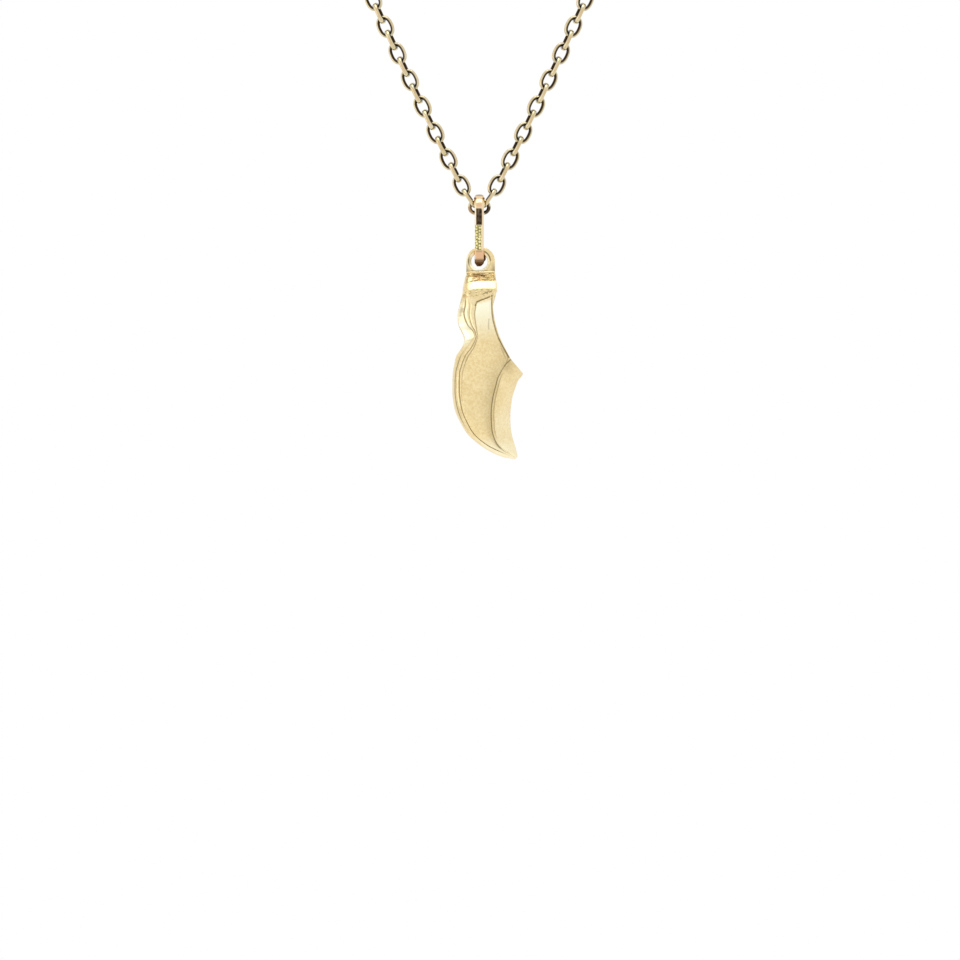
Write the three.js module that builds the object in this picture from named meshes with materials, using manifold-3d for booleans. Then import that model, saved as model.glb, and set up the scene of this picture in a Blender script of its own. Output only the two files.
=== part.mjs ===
// A gold clog pendant hanging from the lowest stretch of its trace chain.
// Millimetres, +Z up, +X to the wearer's left as seen from the front, +Y away from the viewer.
// The origin is midway between the two highest links, where the rest of the necklace takes over.
import * as THREE from 'three';
import { mergeVertices } from 'three/addons/utils/BufferGeometryUtils.js';
import Module from 'manifold-3d';

// Chain link, measured over its oval
const LINK_LENGTH = 2.84;
const LINK_WIDTH = 2.1;
const WIRE = 0.475; // wire in the plane of the link
const WIRE_SIDE_DEPTH = 0.45; // wire across the plane of the link, on its long sides
const WIRE_END_DEPTH = 0.6; // the same at its ends, where the wire is swelled
const LINK_GAP = 0.055; // play between two linked wires
const LINK_ROUNDNESS = 2.35; // power of the oval: 2 is an ellipse, more is squarer
const LINK_STEPS = 18;
const LINK_SIDES = 8;

// How the chain hangs, in degrees from upright
const LINKS_PER_STRAND = 17;
const LEAN_AT_CENTRE = 35; // first link beside the centre link
const LEAN_OF_STRAND = 27; // second link
const LEAN_CHANGE = -0.22; // added at each link above it
const TWIST_OF_STRAND = 14; // turn of the links about their own length, towards the inside of the V
const TWIST_OF_FIRST = 6; // the same for the first link
const TWIST_STEP = 3; // added at each link above it, up to the twist of the strand

// Bail: a strip bent to a drop-shaped loop and closed at the narrow end
const BAIL_STRIP = 0.5;
const BAIL_TOP_RADIUS = 1.4; // inside
const BAIL_FOOT_RADIUS = 0.6; // inside
const BAIL_INSIDE_LENGTH = 8.02;
const BAIL_TOP_WIDTH = 1.34;
const BAIL_WAIST_WIDTH = 1.14;
const BAIL_FOOT_WIDTH = 1.02;
const BAIL_BEVEL = 0.13;
const BAIL_GAP = 0.04; // play between the bail and the link inside it

// Eye: an arched tab with a countersunk hole, soldered to the heel
const EYE_RADIUS = 1.79;
const EYE_THICKNESS = 1.3;
const EYE_HOLE_RADIUS = 1.02;
const EYE_SINK_RADIUS = 1.3;
const EYE_SINK_DEPTH = 0.22;
const EYE_HOLE_SHIFT = 0.15; // the hole is drilled this far to -X of the tab's middle
const EYE_FOOT_DROP = 1.4; // from the hole's centre to the foot of the tab
const EYE_EDGE = 0.1;
const EYE_REST = 1.16; // hole's top above the inside foot of the bail: the tab wedges there
const SOLDER_GAP = 0.06; // between the foot of the tab and the top of the heel
const EYE_SHIFT = 0.16; // the eye sits this far to +X on the bail, above the clog's weight

// Clog: walls of the hollow shoe
const CLOG_SIDE_WALL = 0.55;
const CLOG_ROOF = 0.6;
const CLOG_FLOOR = 1.35;
const RIDGE_STEP = 0.14; // the vamp stands this far proud of the side wall
const RIDGE_LIP = 0.36; // across the vamp's raised edge
const FLOOR_CORNER = 0.5;
const CAVITY_UNDER_RIDGE = 0.3;
const SOLE_FLAT = 0.6; // share of the half width that is flat underneath
const TOE_REACH = 24.68; // from the eye's centre down to the tip of the toe

const GOLD = new THREE.Color('#ecd9a0');
const CHAIN_GOLD = new THREE.Color('#cdb377');
const ROSE_GOLD = new THREE.Color('#cf9a63');

// Cross-sections of the clog from heel to toe. Each runs from a point under the sole to a point on
// the crest of the form, measured across and down from the centre of the eye. half is half the
// width; welt, edge and side are how far the three carved lines lie from the sole; ridge is how far
// the ridge lies below the crest; crest is 0 where the walls stand upright and 1 where they close.
// The table is drawn for a toe 24.68 below the eye's centre and is scaled to TOE_REACH.
const SECTIONS = [
  { sole: [-1.66, -1.44], top: [1.79, -1.44], half: 0.78, welt: 0.2, edge: 0.4, side: 0.8, ridge: 0.25, crest: 0 },
  { sole: [-2.0, -2.19], top: [1.88, -2.19], half: 1.6, welt: 0.3, edge: 0.55, side: 0.95, ridge: 0.3, crest: 0 },
  { sole: [-2.2, -2.94], top: [2.02, -2.94], half: 2.2, welt: 0.35, edge: 0.65, side: 1.1, ridge: 0.35, crest: 0 },
  { sole: [-2.27, -3.69], top: [2.05, -3.69], half: 2.55, welt: 0.4, edge: 0.75, side: 1.25, ridge: 0.4, crest: 0 },
  { sole: [-2.42, -4.69], top: [2.5, -4.6], half: 2.72, welt: 0.5, edge: 0.95, side: 1.6, ridge: 1.25, crest: 0 },
  { sole: [-2.65, -5.62], top: [2.62, -5.62], half: 2.8, welt: 0.72, edge: 1.35, side: 2.06, ridge: 1.4, crest: 0 },
  { sole: [-2.85, -6.75], top: [2.75, -6.75], half: 2.82, welt: 0.78, edge: 1.45, side: 2.14, ridge: 1.5, crest: 0 },
  { sole: [-2.75, -8.0], top: [3.0, -8.0], half: 2.85, welt: 1.12, edge: 1.62, side: 2.18, ridge: 1.48, crest: 0 },
  { sole: [-2.42, -8.75], top: [3.38, -8.75], half: 2.88, welt: 1.44, edge: 1.66, side: 1.96, ridge: 1.62, crest: 0 },
  { sole: [-2.08, -9.5], top: [3.62, -9.5], half: 2.93, welt: 1.3, edge: 1.52, side: 1.68, ridge: 1.6, crest: 0.05 },
  { sole: [-2.05, -10.12], top: [4.0, -10.12], half: 3.02, welt: 0.85, edge: 1.3, side: 1.5, ridge: 1.7, crest: 0.2 },
  { sole: [-2.42, -10.94], top: [4.62, -10.94], half: 3.18, welt: 0.65, edge: 1.22, side: 1.55, ridge: 1.94, crest: 0.45 },
  { sole: [-3.06, -11.94], top: [5.55, -12.3], half: 3.4, welt: 0.56, edge: 1.12, side: 1.5, ridge: 2.2, crest: 0.8 },
  { sole: [-3.41, -13.6], top: [5.3, -14.03], half: 3.75, welt: 0.39, edge: 0.88, side: 1.25, ridge: 2.78, crest: 1 },
  { sole: [-3.5, -14.5], top: [4.74, -14.84], half: 3.91, welt: 0.35, edge: 0.88, side: 1.24, ridge: 2.62, crest: 1 },
  { sole: [-3.53, -15.5], top: [4.42, -15.6], half: 4.02, welt: 0.34, edge: 0.88, side: 1.24, ridge: 2.52, crest: 1 },
  { sole: [-3.49, -17.0], top: [3.98, -17.0], half: 4.03, welt: 0.34, edge: 0.9, side: 1.2, ridge: 2.44, crest: 1 },
  { sole: [-3.16, -18.75], top: [3.76, -18.62], half: 3.85, welt: 0.36, edge: 0.89, side: 1.08, ridge: 2.44, crest: 1 },
  { sole: [-2.53, -20.16], top: [3.73, -19.88], half: 3.5, welt: 0.3, edge: 0.85, side: 0.95, ridge: 2.4, crest: 1 },
  { sole: [-1.5, -21.75], top: [3.81, -21.12], half: 2.92, welt: 0.26, edge: 0.76, side: 0.84, ridge: 2.36, crest: 1 },
  { sole: [0.08, -23.08], top: [4.05, -22.25], half: 2.12, welt: 0.24, edge: 0.72, side: 0.8, ridge: 2.15, crest: 1 },
  { sole: [1.54, -23.94], top: [4.3, -23.0], half: 1.4, welt: 0.26, edge: 0.76, side: 0.86, ridge: 1.68, crest: 1 },
  { sole: [2.84, -24.46], top: [4.49, -23.69], half: 0.75, welt: 0.22, edge: 0.62, side: 0.7, ridge: 0.92, crest: 1 },
  { sole: [3.95, -24.68], top: [4.61, -24.26], half: 0.22, welt: 0.1, edge: 0.24, side: 0.27, ridge: 0.34, crest: 1 },
];
const STEPS_PER_SECTION = 2;

// The rim of the foot opening from heel to instep, seen from the side, across and down from the eye
const RIM = [
  [2.0, -3.75], [1.8, -4.5], [1.54, -5.6], [1.63, -6.6], [1.89, -8.0], [2.37, -9.5],
  [3.05, -10.94], [3.77, -12.31],
];
const INSTEP_PEAK = [5.3, -14.03];
const CAVITY_FROM = 3.55; // counted in sections from the heel
const CAVITY_TO = 18.6;
const CLEAR_OF_FORM = 4; // how far the cutter of the opening reaches past the form

const wasm = await Module();
wasm.setup();

const degrees = THREE.MathUtils.degToRad;
const mix = THREE.MathUtils.lerp;
const scale = -TOE_REACH / SECTIONS[SECTIONS.length - 1].sole[1];

// Turns rows of points into a closed body. Every row is a closed ring with as many points; the last
// row joins the first, or both are closed with a fan.
function bodyFromRings(rings, joined) {
  const around = rings[0].length;
  const points = rings.flat();
  const faces = [];
  const rows = joined ? rings.length : rings.length - 1;
  for (let row = 0; row < rows; row += 1) {
    const next = (row + 1) % rings.length;
    for (let i = 0; i < around; i += 1) {
      const j = (i + 1) % around;
      faces.push(row * around + i, row * around + j, next * around + j);
      faces.push(row * around + i, next * around + j, next * around + i);
    }
  }
  if (!joined) {
    for (const [row, flip] of [[0, true], [rings.length - 1, false]]) {
      const centre = new THREE.Vector3();
      rings[row].forEach((p) => centre.addScaledVector(p, 1 / around));
      points.push(centre);
      for (let i = 0; i < around; i += 1) {
        const a = row * around + i;
        const b = row * around + ((i + 1) % around);
        faces.push(...(flip ? [b, a, points.length - 1] : [a, b, points.length - 1]));
      }
    }
  }
  const geometry = new THREE.BufferGeometry().setFromPoints(points);
  geometry.setIndex(facingOut(points, faces));
  return geometry;
}

// Reverses the faces of a body that was wound inside out.
function facingOut(points, faces) {
  let volume = 0;
  for (let i = 0; i < faces.length; i += 3) {
    const [a, b, c] = [points[faces[i]], points[faces[i + 1]], points[faces[i + 2]]];
    volume += a.dot(new THREE.Vector3().crossVectors(b, c));
  }
  return volume < 0 ? faces.slice().reverse() : faces;
}

function toSolid(geometry) {
  const bare = geometry.clone();
  bare.deleteAttribute('normal');
  bare.deleteAttribute('uv');
  const merged = mergeVertices(bare, 1e-5);
  return new wasm.Manifold(new wasm.Mesh({
    numProp: 3,
    vertProperties: new Float32Array(merged.attributes.position.array),
    triVerts: new Uint32Array(merged.index.array),
  }));
}

function toGeometry(solid) {
  const { vertProperties, triVerts } = solid.getMesh();
  const geometry = new THREE.BufferGeometry();
  geometry.setAttribute('position', new THREE.BufferAttribute(new Float32Array(vertProperties), 3));
  geometry.setIndex(new THREE.BufferAttribute(new Uint32Array(triVerts), 1));
  return geometry;
}

function piece(name, geometry, material) {
  geometry.computeVertexNormals();
  const mesh = new THREE.Mesh(geometry, material);
  mesh.name = name;
  return mesh;
}

// One oval link standing along Z in the XZ plane, its centre at the origin.
function linkGeometry() {
  const across = (LINK_WIDTH - WIRE) / 2;
  const up = (LINK_LENGTH - WIRE) / 2;
  const power = (value, exponent) => Math.sign(value) * Math.abs(value) ** exponent;
  const rings = [];
  for (let step = 0; step < LINK_STEPS; step += 1) {
    const turn = (2 * Math.PI * (step + 0.5)) / LINK_STEPS;
    const x = power(Math.cos(turn), 2 / LINK_ROUNDNESS);
    const z = power(Math.sin(turn), 2 / LINK_ROUNDNESS);
    const centre = new THREE.Vector3(across * x, 0, up * z);
    const outward = new THREE.Vector3();
    outward.x = power(x, LINK_ROUNDNESS - 1) / across;
    outward.z = power(z, LINK_ROUNDNESS - 1) / up;
    outward.normalize();
    const swell = THREE.MathUtils.smoothstep(Math.abs(z), 0.3, 0.95);
    const depth = mix(WIRE_SIDE_DEPTH, WIRE_END_DEPTH, swell);
    const ring = [];
    for (let side = 0; side < LINK_SIDES; side += 1) {
      const angle = (2 * Math.PI * side) / LINK_SIDES;
      const point = centre.clone().addScaledVector(outward, (WIRE / 2) * Math.cos(angle));
      point.y += (depth / 2) * Math.sin(angle);
      ring.push(point);
    }
    rings.push(ring);
  }
  return bodyFromRings(rings, true);
}

// Where the wire of a link that leans out of a lying link rests in the lying link's oval.
function seatInLyingLink(lean) {
  const across = (LINK_LENGTH - WIRE) / 2;
  const up = (LINK_WIDTH - WIRE) / 2;
  const pull = new THREE.Vector3(Math.sin(degrees(lean)), 0, Math.cos(degrees(lean)));
  const ratio = ((pull.x / pull.z) * (across / up) ** LINK_ROUNDNESS) ** (1 / (LINK_ROUNDNESS - 1));
  const z = ((ratio / across) ** LINK_ROUNDNESS + (1 / up) ** LINK_ROUNDNESS) ** (-1 / LINK_ROUNDNESS);
  return new THREE.Vector3(ratio * z, 0, z).addScaledVector(pull, -WIRE - LINK_GAP);
}

// Centre and lean of every link of one strand, counted upwards from the centre link, with side -1
// for the strand that rises to -X.
function strandPlaces(side) {
  const wireToCentre = (LINK_LENGTH - WIRE) / 2;
  const halfPitch = (LINK_LENGTH - 2 * WIRE - LINK_GAP) / 2;
  const along = (lean) => new THREE.Vector3(side * Math.sin(degrees(lean)), 0, Math.cos(degrees(lean)));
  const places = [];
  let lean = LEAN_AT_CENTRE;
  let centre = seatInLyingLink(lean);
  centre.x *= side;
  centre.addScaledVector(along(lean), wireToCentre);
  for (let number = 1; number <= LINKS_PER_STRAND; number += 1) {
    places.push({ number, lean, centre: centre.clone() });
    const joint = centre.clone().addScaledVector(along(lean), halfPitch);
    lean = LEAN_OF_STRAND + LEAN_CHANGE * (number - 1);
    centre = joint.addScaledVector(along(lean), halfPitch);
  }
  return places;
}

function chain(material) {
  const group = new THREE.Group();
  const centreLink = piece('centre_link', linkGeometry(), material);
  centreLink.rotation.y = Math.PI / 2;
  group.add(centreLink);
  for (const [name, side] of [['left', -1], ['right', 1]]) {
    for (const { number, lean, centre } of strandPlaces(side)) {
      const label = `${name}_link_${String(number).padStart(2, '0')}`;
      const link = piece(label, linkGeometry(), material);
      const twist = Math.min(TWIST_OF_STRAND, TWIST_OF_FIRST + TWIST_STEP * (number - 1));
      link.rotation.z = side * degrees(twist) + (number % 2) * (Math.PI / 2);
      const tilted = new THREE.Group();
      tilted.position.copy(centre);
      tilted.rotation.y = side * degrees(lean);
      tilted.add(link);
      group.add(tilted);
    }
  }
  return group;
}

// The bail's middle line in the YZ plane with its width, from the top round the back to the foot and
// up the front. Z is 0 at the inside of the top.
function bailPath() {
  const apart = BAIL_INSIDE_LENGTH - BAIL_TOP_RADIUS - BAIL_FOOT_RADIUS;
  const taper = Math.asin((BAIL_TOP_RADIUS - BAIL_FOOT_RADIUS) / apart);
  const path = [];
  const arc = (radius, height, from, to, steps, widthAt) => {
    for (let step = 0; step <= steps; step += 1) {
      const turn = mix(from, to, step / steps);
      const outward = new THREE.Vector3(0, Math.cos(turn), Math.sin(turn));
      const centre = outward.clone().multiplyScalar(radius + BAIL_STRIP / 2);
      centre.z += height;
      path.push({ centre, outward, width: widthAt(Math.abs(Math.sin(turn))) });
    }
  };
  const side = (turn, share) => {
    const radius = mix(BAIL_TOP_RADIUS, BAIL_FOOT_RADIUS, share) + BAIL_STRIP / 2;
    const outward = new THREE.Vector3(0, Math.cos(turn), Math.sin(turn));
    const centre = outward.clone().multiplyScalar(radius);
    centre.z += -BAIL_TOP_RADIUS - apart * share;
    path.push({ centre, outward, width: BAIL_WAIST_WIDTH });
  };
  const topWidth = (rise) => mix(BAIL_WAIST_WIDTH, BAIL_TOP_WIDTH, rise);
  const footWidth = (fall) => mix(BAIL_WAIST_WIDTH, BAIL_FOOT_WIDTH, fall);
  arc(BAIL_TOP_RADIUS, -BAIL_TOP_RADIUS, Math.PI + taper, -taper, 12, topWidth);
  side(-taper, 0.35);
  side(-taper, 0.7);
  arc(BAIL_FOOT_RADIUS, -BAIL_TOP_RADIUS - apart, -taper, taper - Math.PI, 10, footWidth);
  side(Math.PI + taper, 0.7);
  side(Math.PI + taper, 0.35);
  return path;
}

function bailGeometry() {
  const half = BAIL_STRIP / 2;
  const rings = bailPath().map(({ centre, outward, width }) => {
    const edge = width / 2;
    const outline = [
      [edge - BAIL_BEVEL, half], [edge, half - BAIL_BEVEL], [edge, BAIL_BEVEL / 2 - half],
      [edge - BAIL_BEVEL / 2, -half], [BAIL_BEVEL / 2 - edge, -half], [-edge, BAIL_BEVEL / 2 - half],
      [-edge, half - BAIL_BEVEL], [BAIL_BEVEL - edge, half],
    ];
    return outline.map(([across, out]) => {
      const point = centre.clone().addScaledVector(outward, out);
      point.x += across;
      return point;
    });
  });
  return bodyFromRings(rings, true);
}

// The arched tab, its hole's centre at the origin and its faces square to Y.
function eyeGeometry() {
  const shape = new THREE.Shape();
  const reach = EYE_RADIUS - EYE_EDGE;
  shape.moveTo(-reach, -EYE_FOOT_DROP + EYE_EDGE);
  shape.lineTo(reach, -EYE_FOOT_DROP + EYE_EDGE);
  shape.lineTo(reach, 0);
  shape.absarc(0, 0, reach, 0, Math.PI, false);
  shape.closePath();
  const tab = new THREE.ExtrudeGeometry(shape, {
    depth: EYE_THICKNESS - 2 * EYE_EDGE,
    bevelThickness: EYE_EDGE,
    bevelSize: EYE_EDGE,
    bevelSegments: 1,
    curveSegments: 20,
  });
  tab.translate(0, 0, EYE_EDGE - EYE_THICKNESS / 2);
  tab.rotateX(Math.PI / 2);
  const face = EYE_THICKNESS / 2;
  const past = EYE_SINK_RADIUS + (EYE_SINK_RADIUS - EYE_HOLE_RADIUS);
  const bit = new THREE.LatheGeometry([
    new THREE.Vector2(0, -face - EYE_SINK_DEPTH),
    new THREE.Vector2(past, -face - EYE_SINK_DEPTH),
    new THREE.Vector2(EYE_HOLE_RADIUS, EYE_SINK_DEPTH - face),
    new THREE.Vector2(EYE_HOLE_RADIUS, face - EYE_SINK_DEPTH),
    new THREE.Vector2(past, face + EYE_SINK_DEPTH),
    new THREE.Vector2(0, face + EYE_SINK_DEPTH),
  ], 32);
  bit.translate(-EYE_HOLE_SHIFT, 0, 0);
  return toGeometry(toSolid(tab).subtract(toSolid(bit)));
}

// All values of a section at a place between two sections, on a smooth curve through them.
function sectionAt(place) {
  const first = Math.min(Math.floor(place), SECTIONS.length - 2);
  const share = place - first;
  const near = [-1, 0, 1, 2].map((offset) => {
    return SECTIONS[THREE.MathUtils.clamp(first + offset, 0, SECTIONS.length - 1)];
  });
  const curve = (pick) => {
    const [a, b, c, d] = near.map(pick);
    return b + 0.5 * share * (c - a + share * (2 * a - 5 * b + 4 * c - d + share * (3 * (b - c) + d - a)));
  };
  const section = {};
  for (const key of ['half', 'welt', 'edge', 'side', 'ridge']) {
    section[key] = scale * curve((from) => from[key]);
  }
  for (const key of ['sole', 'top']) {
    const [across, down] = [0, 1].map((index) => scale * curve((from) => from[key][index]));
    section[key] = new THREE.Vector3(across, 0, down);
  }
  section.crest = THREE.MathUtils.clamp(curve((from) => from.crest), 0, 1);
  return section;
}

// Sets a half outline, given as [distance from the sole, half width], across both sides of a section.
function ringOf({ sole, top }, outline) {
  const up = top.clone().sub(sole).normalize();
  const at = ([rise, width], side) => {
    const point = sole.clone().addScaledVector(up, rise);
    point.y = side * width;
    return point;
  };
  const back = outline.slice(1, -1).reverse().map((pair) => at(pair, -1));
  return [...outline.map((pair) => at(pair, 1)), ...back];
}

function outerOutline(section) {
  const { half, welt, edge, side, ridge, crest } = section;
  const height = section.top.distanceTo(section.sole);
  const foot = height - ridge;
  const lip = Math.min(RIDGE_LIP, ridge / 3);
  return [
    [0, 0],
    [0, SOLE_FLAT * half],
    [welt, 0.85 * half],
    [edge, 0.95 * half],
    [side, 0.99 * half],
    [mix(side, foot, 0.3), 1.03 * half],
    [mix(side, foot, 0.7), mix(1.03, 0.98, crest) * half],
    [foot, mix(0.97, 0.8, crest) * half],
    [foot + lip, mix(0.99, 0.78, crest) * half + crest * Math.min(RIDGE_STEP, 0.14 * half)],
    [mix(height, mix(foot, height, 0.62), crest), mix(0.97, 0.47, crest) * half],
    [mix(height, mix(foot, height, 0.86), crest), mix(0.5, 0.2, crest) * half],
    [height, 0],
  ];
}

function innerOutline(section, taper) {
  const { half, ridge, crest } = section;
  const height = section.top.distanceTo(section.sole);
  const foot = height - ridge;
  const inside = half - CLOG_SIDE_WALL;
  const roof = mix(height + CLOG_ROOF, height - CLOG_ROOF * 1.5, crest);
  const outline = [
    [CLOG_FLOOR, 0],
    [CLOG_FLOOR, SOLE_FLAT * inside],
    [CLOG_FLOOR + FLOOR_CORNER, 0.9 * inside],
    [mix(CLOG_FLOOR, foot, 0.4), 1.02 * inside],
    [mix(CLOG_FLOOR, foot, 0.75), mix(1, 0.94, crest) * inside],
    [foot - CAVITY_UNDER_RIDGE * crest, mix(0.97, 0.76, crest) * inside],
    [mix(roof, mix(foot, roof, 0.6), crest), mix(0.96, 0.4, crest) * inside],
    [roof, 0],
  ];
  const middle = (CLOG_FLOOR + foot) / 2;
  return outline.map(([rise, width]) => [mix(middle, rise, taper), width * taper]);
}

function clogGeometry() {
  const last = SECTIONS.length - 1;
  const outer = [];
  for (let step = 0; step <= last * STEPS_PER_SECTION; step += 1) {
    const section = sectionAt(step / STEPS_PER_SECTION);
    outer.push(ringOf(section, outerOutline(section)));
  }
  const inner = [];
  const innerSteps = Math.round((CAVITY_TO - CAVITY_FROM) * STEPS_PER_SECTION);
  for (let step = 0; step <= innerSteps; step += 1) {
    const place = mix(CAVITY_FROM, CAVITY_TO, step / innerSteps);
    const section = sectionAt(place);
    const toToe = Math.max(0, (place - 14) / (CAVITY_TO - 14));
    const taper = Math.sqrt(1 - 0.9 * toToe * toToe);
    inner.push(ringOf(section, innerOutline(section, taper)));
  }
  const [start, ...rim] = RIM.map(([x, z]) => new THREE.Vector2(x, z).multiplyScalar(scale));
  const peak = new THREE.Vector2(...INSTEP_PEAK).multiplyScalar(scale);
  const mouth = new THREE.Shape();
  mouth.moveTo(start.x, start.y);
  mouth.splineThru(rim);
  mouth.lineTo(peak.x, peak.y);
  mouth.lineTo(peak.x + CLEAR_OF_FORM, peak.y);
  mouth.lineTo(peak.x + CLEAR_OF_FORM, start.y);
  mouth.closePath();
  const depth = 4 * CLEAR_OF_FORM;
  const cutter = new THREE.ExtrudeGeometry(mouth, { depth, bevelEnabled: false, curveSegments: 2 });
  cutter.translate(0, 0, -depth / 2);
  cutter.rotateX(Math.PI / 2);
  const shell = toSolid(bodyFromRings(outer, false))
    .subtract(toSolid(cutter))
    .subtract(toSolid(bodyFromRings(inner, false)));
  return toGeometry(shell);
}

const gold = new THREE.MeshStandardMaterial({ color: GOLD, roughness: 0.22, metalness: 1 });
const chainGold = new THREE.MeshStandardMaterial({ color: CHAIN_GOLD, roughness: 0.3, metalness: 1 });
const roseGold = new THREE.MeshStandardMaterial({ color: ROSE_GOLD, roughness: 0.25, metalness: 1 });

// Heights above the middle of the centre link
const bailInsideTop = LINK_WIDTH / 2 + BAIL_GAP;
const eyeCentre = bailInsideTop - BAIL_INSIDE_LENGTH + EYE_REST - EYE_HOLE_RADIUS;
const endLink = strandPlaces(1)[LINKS_PER_STRAND - 1];

const bail = piece('bail', bailGeometry(), roseGold);
bail.position.z = bailInsideTop;

const eye = piece('eye', eyeGeometry(), gold);
eye.position.set(EYE_SHIFT, 0, eyeCentre);

const clog = piece('clog_body', clogGeometry(), gold);
const heelTop = scale * SECTIONS[0].top[1];
clog.position.set(EYE_SHIFT, 0, eyeCentre - EYE_FOOT_DROP - SOLDER_GAP - heelTop);

const pendant = new THREE.Group();
pendant.add(chain(chainGold), bail, eye, clog);
pendant.position.z = -endLink.centre.z;

const root = new THREE.Group();
root.add(pendant);

export default root;
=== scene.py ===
import math

import bmesh
import bpy
import numpy as np
from mathutils import Matrix, Vector, kdtree, noise


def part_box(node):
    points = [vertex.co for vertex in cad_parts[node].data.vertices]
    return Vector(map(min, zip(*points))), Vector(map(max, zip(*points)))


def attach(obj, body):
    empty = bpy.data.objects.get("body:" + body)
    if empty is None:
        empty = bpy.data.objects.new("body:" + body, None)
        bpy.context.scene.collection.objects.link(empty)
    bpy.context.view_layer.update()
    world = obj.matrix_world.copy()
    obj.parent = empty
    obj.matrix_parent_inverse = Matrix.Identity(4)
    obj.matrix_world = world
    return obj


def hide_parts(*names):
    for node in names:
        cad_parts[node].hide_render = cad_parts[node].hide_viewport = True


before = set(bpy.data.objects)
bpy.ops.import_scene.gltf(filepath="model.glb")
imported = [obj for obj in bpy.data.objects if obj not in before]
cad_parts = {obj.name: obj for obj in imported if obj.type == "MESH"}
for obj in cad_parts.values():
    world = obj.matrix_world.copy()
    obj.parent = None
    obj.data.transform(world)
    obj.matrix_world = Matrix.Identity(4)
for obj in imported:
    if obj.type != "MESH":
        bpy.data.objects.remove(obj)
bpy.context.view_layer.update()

MM = 0.001

# Sizes in millimetres, as in the solid model
LINK_LENGTH = 2.84
LINK_WIDTH = 2.1
LINK_ROUNDNESS = 2.35
WIRE = 0.475
WIRE_SIDE_DEPTH = 0.45
WIRE_END_DEPTH = 0.6
WIRE_ROUNDNESS = 2.3
LINKS_PER_STRAND = 17
LEAN_AT_CENTRE = 35.0
LEAN_OF_STRAND = 27.0
LEAN_CHANGE = -0.22
TWIST_OF_STRAND = 14.0
TWIST_OF_FIRST = 6.0
TWIST_STEP = 3.0

BAIL_STRIP = 0.5
BAIL_TOP_RADIUS = 1.4
BAIL_FOOT_RADIUS = 0.6
BAIL_INSIDE_LENGTH = 8.02
BAIL_TOP_WIDTH = 1.34
BAIL_WAIST_WIDTH = 1.14
BAIL_CHAMFER = 0.28
BAIL_INNER_EDGE = 0.12
# PANEL_FROM and PANEL_TO bound a painted dark reflection on the flat of the bail's front; BAIL_SHINE_AT is
# a painted shine within it
PANEL_FROM = -27.92
PANEL_TO = -29.88
BEADS_FROM = -29.95
BEADS_TO = -33.0
BEAD_PITCH = 0.37
BEAD_DEPTH = 0.06
BEAD_ASIDE = 0.21
BEADS_LEFT = 0.15
BAIL_FOOT_SHOWN = 1.18
BAIL_FACET_ASIDE = 0.1
BACK_LEG_ASIDE = 0.26
BEAD_STRAY = 0.13
BAIL_PEACH_AT = -27.42
BAIL_SHINE_AT = -28.2
BAIL_DARK_BAND_AT = -33.15

EYE_SHIFT = 0.16
EYE_RADIUS = 1.79
EYE_THICKNESS = 1.3
EYE_HOLE_RADIUS = 1.02
EYE_DISH_RADIUS = 1.36
EYE_DISH_DEPTH = 0.12
EYE_RIM_RADIUS = 1.5
EYE_HOLE_SHIFT = 0.15
EYE_FOOT_DROP = 1.4

CLOG_SIDE_WALL = 0.55
CLOG_ROOF = 0.6
CLOG_FLOOR = 1.35
RIDGE_STEP = 0.14
RIDGE_LIP = 0.36
SOLE_FLAT = 0.6
TOE_ROUND = 0.2
SHELL_SKIN = 0.06
SHELL_INSIDE_DARK = 0.3
MOUTH_REACH = 4

# How finely the clog is laid out: rows to a section over the heel's sections and beyond them, and
# rows of the cavity
HEEL_SECTIONS = 9
HEEL_ROWS = 15
TOE_ROWS = 11
CAVITY_ROWS = 90

# The studio, in metres
FLOOR_SIZE = 1.6
FLOOR_HEIGHT = -0.3
LAMPS_AIM_AT = (0, 0, -0.035)

# The photograph's frame: where it puts the middle of the centre link, and its scale
FRAME_PIXELS = 960
PIXELS_PER_MM = 8.0
CENTRE_LINK_COLUMN = 479.3
CENTRE_LINK_ROW = 207.08
FOCAL_MM = 150.0
SENSOR_MM = 36.0

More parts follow.
